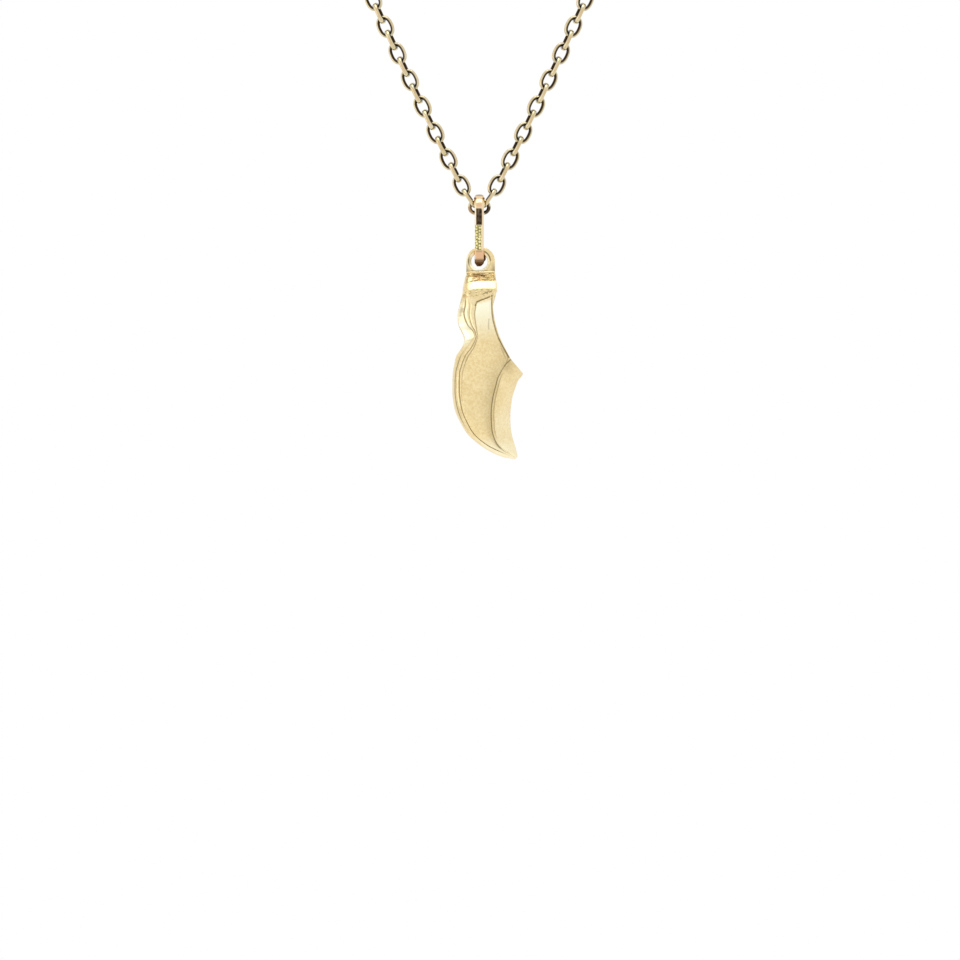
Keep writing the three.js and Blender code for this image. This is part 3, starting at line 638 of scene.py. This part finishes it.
def make_eye(material):
    """A round-topped tab, cut from bar, drilled and countersunk from both faces."""
    bpy.ops.object.select_all(action="DESELECT")
    bpy.ops.mesh.primitive_cylinder_add(
        vertices=160, radius=EYE_RADIUS * MM, depth=EYE_THICKNESS * MM, rotation=(math.pi / 2, 0, 0))
    eye = bpy.context.object
    bpy.ops.object.transform_apply(rotation=True)
    bpy.ops.object.mode_set(mode="EDIT")
    bpy.ops.mesh.select_all(action="SELECT")
    bpy.ops.mesh.bisect(
        plane_co=(0, 0, 0), plane_no=(0, 0, 1), use_fill=True, clear_inner=True, threshold=1e-7)
    select_verts(eye, lambda co: co.z < 1e-6)
    bpy.ops.mesh.extrude_region_move(TRANSFORM_OT_translate={"value": (0, 0, -EYE_FOOT_DROP * MM)})
    bpy.ops.object.mode_set(mode="OBJECT")
    apply_modifier(
        eye, "BEVEL", width=0.1 * MM, segments=3, limit_method="ANGLE", angle_limit=math.radians(50))
    drill = model_drill()
    apply_modifier(eye, "BOOLEAN", object=drill, operation="DIFFERENCE", solver="EXACT")
    bpy.data.objects.remove(drill)
    place(eye, Matrix.Translation((EYE_SHIFT * MM, 0, EYE_Z)))
    corners = corners_of(eye)
    across = corners[:, 0] - EYE_SHIFT + EYE_HOLE_SHIFT
    up = corners[:, 2] - EYE_Z / MM
    from_hole = np.hypot(across, up)
    turn = np.degrees(np.arctan2(up, across))
    depth = EYE_THICKNESS / 2 - np.abs(corners[:, 1])
    # painted shade along the rim of the countersink, thickest at the upper right and at the left
    heavy = np.maximum(
        smoothstep(-6, 6, turn) * smoothstep(72, 58, turn),
        np.exp(-((np.abs(turn) - 184) / 26) ** 4))
    edge = np.exp(-((from_hole - EYE_DISH_RADIUS) / (0.03 + 0.05 * heavy)) ** 2)
    edge *= (depth < 0.2) * (0.3 + 0.7 * heavy)
    bore = smoothstep(EYE_HOLE_RADIUS + 0.03, EYE_HOLE_RADIUS - 0.01, from_hole)
    seam = smoothstep(EYE_FOOT_DROP - 0.3, EYE_FOOT_DROP - 0.17, -up)
    dish = smoothstep(EYE_DISH_RADIUS - 0.02, EYE_DISH_RADIUS - 0.1, from_hole)
    dish = dish * (depth < EYE_DISH_DEPTH + 0.05)
    # a painted highlight over the countersink, strongest at its lower left, and along the left of the face
    lower_left = np.exp(-((turn + 125) / 50) ** 2)
    left_edge = smoothstep(-0.9, -1.6, across)
    mark(eye, "painted_highlight", dish * (0.35 + 0.65 * lower_left) + 0.3 * left_edge * (1 - dish))
    # mottled painted shade at the lower right of the countersink and at its left
    lower_right = np.exp(-((turn + 40) / 30) ** 2)
    edge = np.maximum(edge, dish * lower_right * 0.45 * smoothstep(-0.2, 0.3, grain(corners, 0.2, 7.0)))
    edge = np.maximum(edge, dish * np.exp(-((np.abs(turn) - 180) / 24) ** 4) * 0.4)
    # painted shade inside the bore; the seam at the foot is a dark joint
    mark(eye, "hollow", np.maximum.reduce([edge, bore * 0.3, seam * 0.7]))
    mark(eye, "stain", 0.6 * bore * smoothstep(0.3, 0.8, across) * smoothstep(-0.6, 0.0, up))
    finish_piece(eye, "eye_tab", "clog", ["eye"], material, angle=30)


def model_drill():
    """The cutter of the eye's hole: a bar with a cone at either face."""
    bpy.ops.mesh.primitive_cylinder_add(
        vertices=96, radius=EYE_HOLE_RADIUS * MM, depth=(EYE_THICKNESS - 2 * EYE_DISH_DEPTH) * MM,
        rotation=(math.pi / 2, 0, 0))
    drill = bpy.context.object
    bpy.ops.object.transform_apply(rotation=True)
    bpy.ops.object.mode_set(mode="EDIT")
    slight = 0.004
    radii = list(np.linspace(EYE_HOLE_RADIUS, EYE_DISH_RADIUS, 9)) + [2 * EYE_RIM_RADIUS - EYE_DISH_RADIUS]
    depths = [*np.linspace(EYE_DISH_DEPTH, slight, 9), -slight]
    for way in (1, -1):
        select_verts(drill, lambda co: co.y * way > 1e-6)
        for radius, wider, depth, higher in zip(radii, radii[1:], depths, depths[1:]):
            bpy.ops.mesh.extrude_region_move(
                TRANSFORM_OT_translate={"value": (0, way * (depth - higher) * MM, 0)})
            bpy.ops.transform.resize(value=(wider / radius, 1, wider / radius))
    bpy.ops.object.mode_set(mode="OBJECT")
    place(drill, Matrix.Translation((-EYE_HOLE_SHIFT * MM, 0, 0)))
    return drill


def make_solder(material):
    """The bead of solder that runs round the eye's foot, lumpy as it froze."""
    bpy.ops.object.select_all(action="DESELECT")
    bpy.ops.mesh.primitive_cube_add(size=1)
    bead = bpy.context.object
    only(bead)
    bpy.ops.object.mode_set(mode="EDIT")
    bpy.ops.transform.resize(value=(
        (2 * EYE_RADIUS + 0.04) * MM, (EYE_THICKNESS + 0.34) * MM, 0.36 * MM))
    bpy.ops.mesh.bevel(offset=0.15 * MM, segments=4)
    bpy.ops.mesh.select_all(action="SELECT")
    bpy.ops.mesh.subdivide(number_cuts=9)
    bpy.ops.object.mode_set(mode="OBJECT")
    place(bead, Matrix.Translation((EYE_SHIFT * MM, 0, EYE_Z - (EYE_FOOT_DROP + 0.02) * MM)))
    corners = corners_of(bead)
    lumps = grain(corners, 0.9) * 0.06 + grain(corners, 0.3, 4.0) * 0.015
    corners += normals_of(bead) * (lumps - 0.03)[:, None]
    corners[:, 2] += 0.05 * (corners[:, 0] - EYE_SHIFT) / EYE_RADIUS
    move_corners(bead, corners)
    mark(bead, "hollow", 0.1 + smoothstep(0.02, -0.08, lumps) * 0.45)
    mark(bead, "stain", smoothstep(0.6, -0.2, corners[:, 0]) * smoothstep(0.1, -0.1, lumps) * 0.5)
    finish_piece(bead, "eye_solder", "clog", [], material, angle=50)


# Clog

def section_at(place_along):
    """All values of a section at a place between two sections, on a smooth curve through them."""
    table = np.array([[*sole, *top, *rest] for sole, top, *rest in SECTIONS])
    first = min(int(place_along), len(table) - 2)
    share = place_along - first
    a, b, c, d = (table[max(0, min(len(table) - 1, first + i))] for i in (-1, 0, 1, 2))
    values = smooth_between(a, b, c, d, share)
    sole, top = Vector((values[0], 0, values[1])), Vector((values[2], 0, values[3]))
    half, welt, edge, side, ridge, crest = values[4:]
    if sole.z > HEEL_WIDTHS[-1][0]:
        heights, widths = zip(*reversed(HEEL_WIDTHS))
        half = float(np.interp(sole.z, heights, widths))
    return sole, top, half, welt, edge, side, ridge, min(1, max(0, crest))


def through(points, steps):
    """Points on a smooth curve through a few, without the first."""
    padded = [2 * points[0] - points[1], *points, 2 * points[-1] - points[-2]]
    result = []
    for a, b, c, d in zip(padded, padded[1:], padded[2:], padded[3:]):
        for step in range(1, steps + 1):
            result.append(smooth_between(a, b, c, d, step / steps))
    return result


def strength(line, height):
    heights, shares = zip(*reversed(line))
    return float(np.interp(height, heights, shares))


def carved(before, line, after, half_width, depth, share, skirt=0.0):
    """Five points that cut a soft groove along a line, with how dark each is."""
    to_before = before - line
    to_after = after - line
    lip_before = line + to_before * min(0.4, half_width / max(1e-6, to_before.length))
    lip_after = line + to_after * min(0.4, half_width / max(1e-6, to_after.length))
    bottom = (lip_before + lip_after) / 2 + Vector((0, -depth * share))
    return [
        (lip_before, skirt * share),
        (mix(lip_before, bottom, 0.5), (0.55 + skirt / 2) * share),
        (bottom, share),
        (mix(lip_after, bottom, 0.5), 0.55 * share),
        (lip_after, 0),
    ]


def plain(points, dark=0):
    return [(point, dark) for point in points]


def swelled(a, b, rise, count=3, dark=0):
    """Points between two lines on a strip that swells between them."""
    shares = [(i + 1) / (count + 1) for i in range(count)]
    return plain([mix(a, b, s) + Vector((0, rise * math.sin(math.pi * s))) for s in shares], dark)


def outer_outline(section):
    """Half of the clog's outline in a section: ([above the sole, half width], how dark) pairs."""
    sole, top, half, welt, edge, side, ridge, crest = section
    tight = 1 - 0.4 * float(smoothstep(-4.6, -3.6, sole.z))
    welt, edge, side = welt * tight, edge * tight, side * tight
    height = (top - sole).length
    foot = height - ridge
    up = (top - sole).normalized()
    lip = min(RIDGE_LIP, ridge / 3)
    small = min(1.0, half / 1.5)

    def share(line, rise):
        return strength(line, sole.z + up.z * rise)

    corner = Vector((0, SOLE_FLAT * half))
    welt_at = Vector((welt, 0.85 * half))
    edge_at = Vector((edge, 0.95 * half))
    side_at = Vector((side, 0.99 * half))
    low = Vector((mix(side, foot, 0.3), 1.03 * half))
    high = Vector((mix(side, foot, 0.7), mix(1.03, 0.98, crest) * half))
    foot_at = Vector((foot, mix(0.97, 0.8, crest) * half))
    lip_at = Vector((foot + lip, mix(0.99, 0.78, crest) * half + crest * min(RIDGE_STEP, 0.14 * half)))
    vamp = Vector((mix(height, mix(foot, height, 0.62), crest), mix(0.97, 0.47, crest) * half))
    near_crest = Vector((mix(height, mix(foot, height, 0.86), crest), mix(0.5, 0.2, crest) * half))
    crest_at = Vector((height, 0))

    points = plain([Vector((0, corner.y * part)) for part in (0, 0.3, 0.6, 0.85)])
    # the carved lines are darkened with tarnish and painted shade, and the strips between them with
    # painted shade towards the toe
    welt_share = share(WELT_LINE, welt)
    points += plain([mix(corner, welt_at, 0.12), mix(corner, welt_at, 0.4)])
    points += carved(corner, welt_at, edge_at, 0.13 * small, 0.05 * small, 0.85 * welt_share, 0.25)
    points += swelled(
        mix(welt_at, edge_at, 0.3), mix(welt_at, edge_at, 0.75), 0.04 * small, 3,
        0.12 * share(LOW_SHADE, welt))
    points += carved(welt_at, edge_at, side_at, 0.13 * small, 0.07 * small, 0.8 * share(EDGE_LINE, edge))
    points += swelled(
        mix(edge_at, side_at, 0.35), mix(edge_at, side_at, 0.65), 0.02 * small, 2,
        0.14 * share(LOW_SHADE, edge))
    points += carved(edge_at, side_at, low, 0.13 * small, 0.055 * small, 0.75 * share(SIDE_LINE, side))
    wall = through([side_at, low, high, foot_at], 15)
    shade = share(RIDGE_LINE, foot)
    low_wall = 0.05 * float(smoothstep(-17.5, -20.0, sole.z))
    # painted shade deepens up the wall towards the ridge, and the wall is darker low down near the toe
    for index, point in enumerate(wall[:-1]):
        points.append((point, max(low_wall, 0.26 * shade * float(smoothstep(0.35, 1, index / len(wall))))))
    # painted shade in the ridge's valley and on the strip up to its lip, and tarnish with painted shade
    # along the lip's line
    points += carved(high, foot_at, lip_at, 0.14 * small, 0.06 * small, 0.9 * shade, 0.25)
    points += plain([mix(foot_at, lip_at, 0.5)], 0.28 * shade)
    lip_share = share(LIP_LINE, foot + lip)
    points += carved(foot_at, lip_at, vamp, 0.1 * small, 0.02 * small, 0.65 * lip_share, 0.3)
    points += plain(through([lip_at, vamp, near_crest, crest_at], 5))
    return points


def inner_outline(section, taper):
    """Half of the cavity's outline in a section, drawn in towards its middle by the taper."""
    sole, top, half, *_, ridge, crest = section
    height = (top - sole).length
    foot = height - ridge
    inside = half - CLOG_SIDE_WALL
    roof = mix(height + CLOG_ROOF, height - CLOG_ROOF * 1.5, crest)
    key = [
        (CLOG_FLOOR, 0),
        (CLOG_FLOOR, SOLE_FLAT * inside),
        (CLOG_FLOOR + 0.5, 0.9 * inside),
        (mix(CLOG_FLOOR, foot, 0.4), 1.02 * inside),
        (mix(CLOG_FLOOR, foot, 0.75), mix(1, 0.94, crest) * inside),
        (foot - 0.3 * crest, mix(0.97, 0.76, crest) * inside),
        (mix(roof, mix(foot, roof, 0.6), crest), mix(0.96, 0.4, crest) * inside),
        (roof, 0),
    ]
    middle = (CLOG_FLOOR + foot) / 2
    points = [Vector((mix(middle, rise, taper), width * taper)) for rise, width in key]
    return plain([points[0], *through(points, 3)])


def lay_round(name, rings):
    """A flat grid laid round the form, one row of its points on each ring, then closed at the seam
    and at both ends. Each ring is half an outline, mirrored here."""
    full, shades = [], []
    for sole, up, half in rings:
        def at(point, side):
            spot = sole + up * point.x
            return (spot.x * MM, side * point.y * MM, spot.z * MM)
        back = list(reversed(half[1:-1]))
        full.append([at(point, 1) for point, _ in half] + [at(point, -1) for point, _ in back])
        shades.append([dark for _, dark in half] + [dark for _, dark in back])
    around = len(full[0])
    bpy.ops.object.select_all(action="DESELECT")
    bpy.ops.mesh.primitive_grid_add(x_subdivisions=around, y_subdivisions=len(full) - 1, size=1)
    form = bpy.context.object
    form.name = name
    columns = around + 1
    darkness = np.zeros(len(form.data.vertices))
    for row, ring in enumerate(full):
        for column in range(columns):
            form.data.vertices[row * columns + column].co = ring[column % around]
            darkness[row * columns + column] = shades[row][column % around]
    mark(form, "hollow", darkness)
    bpy.ops.object.mode_set(mode="EDIT")
    # only points on the middle plane are merged: the seam, the crest and the tip of the toe
    select_verts(form, lambda co: abs(co.y) < 1e-9)
    bpy.ops.mesh.remove_doubles(threshold=1e-6)
    bpy.ops.mesh.select_all(action="DESELECT")
    bpy.ops.mesh.select_non_manifold()
    bpy.ops.mesh.edge_face_add()
    bpy.ops.mesh.select_all(action="SELECT")
    bpy.ops.mesh.normals_make_consistent(inside=False)
    bpy.ops.object.mode_set(mode="OBJECT")
    return form


def rings_of(outline, places):
    rings = []
    for place_along in places:
        section = section_at(place_along)
        sole, top = section[0], section[1]
        rings.append((sole, (top - sole).normalized(), outline(section, place_along)))
    return rings


def model_mouth_cutter():
    """The cutter of the foot opening: the rim's line from heel to instep, drawn across the form."""
    points = [Vector(point) for point in RIM]
    line = [points[0], *through(points, 8), Vector(INSTEP_PEAK)]
    beyond = INSTEP_PEAK[0] + MOUTH_REACH
    line += [Vector((beyond, INSTEP_PEAK[1])), Vector((beyond, RIM[0][1]))]
    bpy.ops.object.select_all(action="DESELECT")
    bpy.ops.mesh.primitive_circle_add(vertices=len(line), radius=1)
    cutter = bpy.context.object
    for vertex, point in zip(cutter.data.vertices, line):
        vertex.co = (point.x * MM, -2 * MOUTH_REACH * MM, point.y * MM)
    bpy.ops.object.mode_set(mode="EDIT")
    bpy.ops.mesh.select_all(action="SELECT")
    bpy.ops.mesh.edge_face_add()
    bpy.ops.mesh.extrude_region_move(TRANSFORM_OT_translate={"value": (0, 4 * MOUTH_REACH * MM, 0)})
    bpy.ops.mesh.select_all(action="SELECT")
    bpy.ops.mesh.normals_make_consistent(inside=False)
    bpy.ops.object.mode_set(mode="OBJECT")
    return cutter


def distance_to(line, corners):
    """How far each place lies from a drawn line, in the plane of the photograph."""
    spots = corners[:, [0, 2]]
    best = np.full(len(spots), 99.0)
    for start, end in zip(line, line[1:]):
        start, end = np.array(start), np.array(end)
        run = end - start
        share = np.clip(((spots - start) @ run) / (run @ run), 0, 1)
        best = np.minimum(best, np.linalg.norm(spots - start - share[:, None] * run, axis=1))
    return best


def grave_heel(form):
    """The lines and tool marks of the heel, on both of its sides, and how dark and how red they are."""
    corners = corners_of(form)
    normals = normals_of(form)
    hollow = hollow_of(form)
    on_side = np.abs(normals[:, 1]) > 0.4
    push = np.zeros(len(corners))
    # each graved line is pushed in and darkened with tarnish and painted shade
    for line, half_width, depth, dark in (
        (PANEL_TOP, 0.17, 0.06, 0.9), (RIM_LINE, 0.15, 0.02, 0.75), (RIM_LOW, 0.12, 0.02, 1.0),
        (RIM_INSIDE, 0.12, 0.02, 0.5), (PANEL_STROKE, 0.12, 0.02, 0.4),
        (SOLE_SCRATCH, 0.1, 0.02, 0.4), (COLLAR_NOTCHES, 0.12, 0.03, 0.8), (UNDER_SOLDER, 0.12, 0.02, 0.7),
        (INSTEP_STROKE, 0.15, 0.02, 0.8),
    ):
        cut = (1 - smoothstep(0.1 * half_width, half_width, distance_to(line, corners))) * on_side
        push = np.maximum(push, cut * depth)
        hollow = np.maximum(hollow, cut * dark)
    down = -corners[:, 2]
    collar = smoothstep(3.45, 3.6, down) * (1 - smoothstep(4.3, 4.9, down)) * on_side
    shoulder = smoothstep(2.6, 2.45, down) * on_side
    rough = np.where((collar > 0) | (shoulder > 0), 1.0, 0.0)
    scratches = np.zeros(len(corners))
    chosen = np.nonzero(rough)[0]
    scratches[chosen] = grain(corners[chosen] * np.array([0.6, 1, 1.6]), 0.2, 2.0)
    push += collar * (0.015 + 0.03 * scratches) + shoulder * (0.02 + 0.025 * scratches)
    hollow = np.maximum(hollow, collar * (0.06 + 0.5 * smoothstep(0.06, 0.5, scratches)))
    hollow = np.maximum(hollow, shoulder * (0.29 + 0.34 * smoothstep(0.0, 0.5, scratches)))
    # painted shade over the instep
    instep_shade = np.exp(-((corners[:, 0] - 3.2) / 1.0) ** 2 - ((corners[:, 2] + 13.1) / 0.9) ** 2) * on_side
    hollow = np.maximum(hollow, instep_shade * (0.3 + 0.12 * grain(corners, 0.5, 6.0)))
    blob = np.exp(-((corners[:, 0] + 0.55) / 0.4) ** 2 - ((corners[:, 2] + 1.85) / 0.25) ** 2)
    tint = np.exp(-((corners[:, 0] + 1.95) / 0.3) ** 2 - ((corners[:, 2] + 4.2) / 0.3) ** 2)
    stain = np.maximum(0.8 * blob * shoulder, 0.5 * tint * on_side)
    corners -= normals * push[:, None]
    bend = np.clip((0.6 - corners[:, 0]) / 2.6, 0, 1) ** 2
    corners[:, 2] -= 0.34 * bend * smoothstep(1.9, 2.5, down) * (1 - smoothstep(3.8, 4.8, down))
    move_corners(form, corners)
    return hollow, stain, highlight_places(corners, down, on_side)


def highlight_places(corners, down, on_side):
    """Where highlights are painted pale on the clog: the heel panel, the edge of the heel, the sole's
    edge, the arch, the toe and the vamp.
    """
    across = corners[:, 0]
    left = np.interp(down, WALL_LINE_DOWN, WALL_LINE_ACROSS)
    right = np.interp(down, [-z for _, z in RIM_LINE], [x for x, _ in RIM_LINE])
    panel = smoothstep(left, left + 0.15, across) * smoothstep(right, right - 0.1, across)
    panel *= smoothstep(4.6, 5.2, down - 0.25 * (1.4 - across))
    panel *= np.interp(down, (5.6, 6.8, 7.8, 9.0, 10.2), (1.0, 0.8, 0.55, 0.25, 0))
    block = smoothstep(left + 0.1, left - 0.1, across) * smoothstep(4.4, 5.0, down)
    block *= 1 - smoothstep(9.0, 11.0, down)
    sole = smoothstep(left - 1.2, left - 1.7, across) * smoothstep(4.5, 5.5, down)
    sole *= smoothstep(12.0, 11.0, down)
    arch = smoothstep(7.2, 8.2, down) * (1 - smoothstep(10.0, 11.0, down))
    arch *= smoothstep(left - 0.5, left - 1.0, across)
    toe = smoothstep(21.5, 23.5, down)
    vamp = smoothstep(1.6, 2.0, across) * smoothstep(17.5, 20.0, down)
    marks = smoothstep(0.1, 0.5, grain(corners * np.array([1, 1, 2.5]), 0.5, 9.0))
    shares = np.maximum.reduce([
        panel, 0.2 * block, 0.5 * sole, arch * (0.75 - 0.6 * marks), 0.48 * toe, 0.22 * vamp])
    return shares * on_side


def round_end(ring, reach):
    """Rings that close the form beyond its last one, shrinking to a point like a dome."""
    sole, up, half = ring
    forward = Vector((up.z, 0, -up.x))
    middle = half[-1][0].x / 2
    rings = []
    for turn in (20, 40, 58, 74, 90):
        shrink, push = math.cos(math.radians(turn)), math.sin(math.radians(turn)) * reach
        points = [(Vector((mix(middle, point.x, shrink), point.y * shrink)), dark) for point, dark in half]
        rings.append((sole + forward * push, up, points))
    return rings


def make_clog(material):
    last = len(SECTIONS) - 1
    heel_rows = np.linspace(0, HEEL_SECTIONS, HEEL_SECTIONS * HEEL_ROWS + 1)
    toe_rows = np.linspace(HEEL_SECTIONS, last, (last - HEEL_SECTIONS) * TOE_ROWS + 1)[1:]
    rows = rings_of(lambda section, _: outer_outline(section), [*heel_rows, *toe_rows])
    rows += round_end(rows[-1], TOE_ROUND)
    clog = lay_round("clog", rows)
    hollow, stain, painted_highlight = grave_heel(clog)
    known = kdtree.KDTree(len(hollow))
    for index, vertex in enumerate(clog.data.vertices):
        known.insert(vertex.co, index)
    known.balance()

    def inner(section, place_along):
        to_toe = max(0, (place_along - 14) / (CAVITY_TO - 14))
        return inner_outline(section, math.sqrt(1 - 0.9 * to_toe * to_toe))

    cavity = lay_round("cavity", rings_of(inner, np.linspace(CAVITY_FROM, CAVITY_TO, CAVITY_ROWS)))
    mouth = model_mouth_cutter()
    apply_modifier(clog, "BOOLEAN", object=mouth, operation="DIFFERENCE", solver="EXACT")
    apply_modifier(clog, "BOOLEAN", object=cavity, operation="DIFFERENCE", solver="EXACT")
    bpy.data.objects.remove(mouth)
    bpy.data.objects.remove(cavity)
    # inside the shell the metal gets a fixed darkness: rough-cast colour with painted shade
    dark, red, pale = [], [], []
    for vertex in clog.data.vertices:
        _, index, distance = known.find(vertex.co)
        outside = distance < SHELL_SKIN * MM
        dark.append(hollow[index] if outside else SHELL_INSIDE_DARK)
        red.append(stain[index] if outside else 0)
        pale.append(painted_highlight[index] if outside else 0)
    mark(clog, "hollow", dark)
    mark(clog, "stain", red)
    mark(clog, "painted_highlight", pale)
    place(clog, Matrix.Translation((EYE_SHIFT * MM, 0, EYE_Z)))
    finish_piece(clog, "clog_shell", "clog", ["clog_body"], material, angle=30)


# Studio

def make_studio():
    world = bpy.data.worlds.new("studio")
    bpy.context.scene.world = world
    world.use_nodes = True
    tree = world.node_tree
    tree.nodes.clear()
    path = add_node(tree, "ShaderNodeLightPath")
    seen = path.outputs["Is Camera Ray"]
    for kind in ("Is Glossy Ray", "Is Transmission Ray"):
        seen = add_node(tree, "ShaderNodeMath", {
            0: seen, 1: path.outputs[kind]}, operation="MAXIMUM").outputs[0]
    white = add_node(tree, "ShaderNodeBackground", {"Color": srgb("#ffffff"), "Strength": 1.0})
    room = add_node(tree, "ShaderNodeBackground", {"Color": srgb("#ffffff"), "Strength": 1.0})
    both = add_node(tree, "ShaderNodeMixShader", {0: seen, 1: room.outputs[0], 2: white.outputs[0]})
    add_node(tree, "ShaderNodeOutputWorld", {"Surface": both.outputs[0]})

    bpy.ops.object.select_all(action="DESELECT")
    bpy.ops.mesh.primitive_plane_add(size=FLOOR_SIZE, location=(0, 0, FLOOR_HEIGHT))
    floor = bpy.context.object
    floor.name = "floor"
    material, tree = new_material("pale_floor")
    matt = add_node(tree, "ShaderNodeBsdfDiffuse", {"Color": srgb("#fafafa")})
    add_node(tree, "ShaderNodeOutputMaterial", {"Surface": matt.outputs[0]})
    floor.data.materials.append(material)

    # a soft box overhead and a weaker strip light at the left
    for name, size, energy, spot in (
        ("soft_box", (0.4, 0.22), 0.62, (0, -0.17, 0.42)),
        ("strip_light", (0.2, 0.4), 0.2, (-0.36, -0.22, -0.02)),
    ):
        data = bpy.data.lights.new(name, "AREA")
        data.shape = "RECTANGLE"
        data.size, data.size_y = size
        data.energy = energy
        lamp = bpy.data.objects.new(name, data)
        bpy.context.collection.objects.link(lamp)
        lamp.location = spot
        to_aim = Vector(LAMPS_AIM_AT) - lamp.location
        lamp.rotation_euler = to_aim.to_track_quat("-Z", "Y").to_euler()
        lamp.visible_camera = False


set_camera()
# each gold: bright and deep tones, the colour of tarnish and painted shade, of stain and of painted
# highlights, then roughness, fleck size and fleck share
clog_gold = worn_gold_with_painted_light(
    "cast_yellow_gold", "#f6e2b0", "#e8d09a", "#5f4f27", "#c28443", "#fffce0", 0.26, 0.3, 0.5)
bail_gold = worn_gold_with_painted_light(
    "rolled_rose_gold", "#f6e2c2", "#ecd0a4", "#2c2016", "#dd9c68", "#fdf0aa", 0.1, 0.6, 0.1)
chain_gold = worn_gold_with_painted_light(
    "drawn_yellow_gold", "#f2e7c6", "#dacb9e", "#3b2b17", "#c99a62", "#fffce0", 0.2, 0.35, 0.25)
make_chain(chain_gold)
make_bail(bail_gold)
make_eye(clog_gold)
make_solder(clog_gold)
make_clog(clog_gold)
make_studio()

bpy.context.scene.view_settings.view_transform = "Standard"
